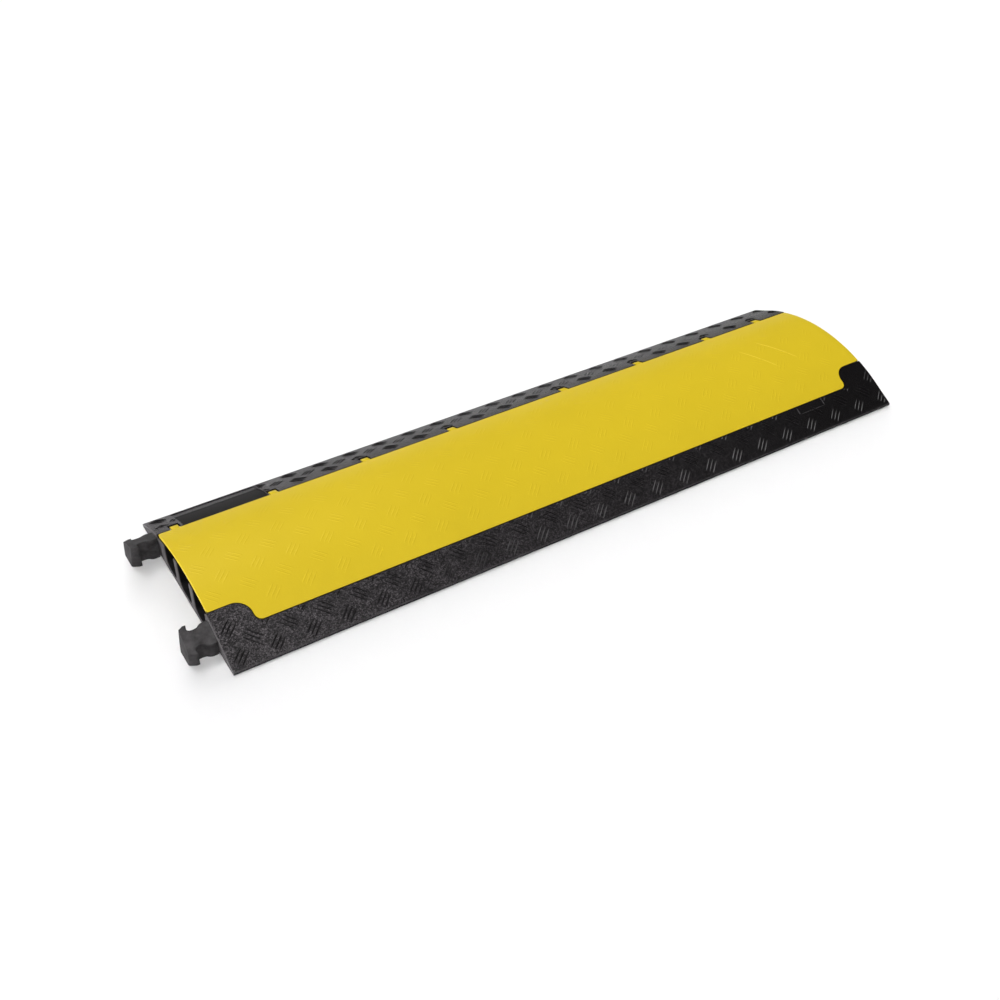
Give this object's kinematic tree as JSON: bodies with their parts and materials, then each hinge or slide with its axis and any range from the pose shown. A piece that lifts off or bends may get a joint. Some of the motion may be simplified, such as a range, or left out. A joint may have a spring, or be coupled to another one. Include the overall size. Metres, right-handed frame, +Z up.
{
  "type": "floor cord cover",
  "caption": "Low arched floor cover for cords: black ramp body with lengthwise channels, hinged yellow lid over them, end connectors that interlock with the next cover.",
  "frame": {"origin": "under the middle of the whole part, on the floor", "axes": "+X along the cover towards the end with the pockets, +Y towards the hinged side of the lid, +Z up"},
  "size_m": [1.037, 0.293, 0.047],
  "materials": {
    "base": "fine grained, dull satin",
    "lid": "satin",
    "hinge_rod": "satin"
  },
  "bodies": {
    "body": {"base": "base", "hinge_rod": "hinge_rod"},
    "lid": {"lid": "lid"}
  },
  "joints": [
    {"name": "lid_hinge", "type": "hinge", "parent": "body", "child": "lid", "pos_m": [0, 0.09036, 0.0254], "axis": [-1, 0, 0], "range_deg": [0, 104]}
  ]
}
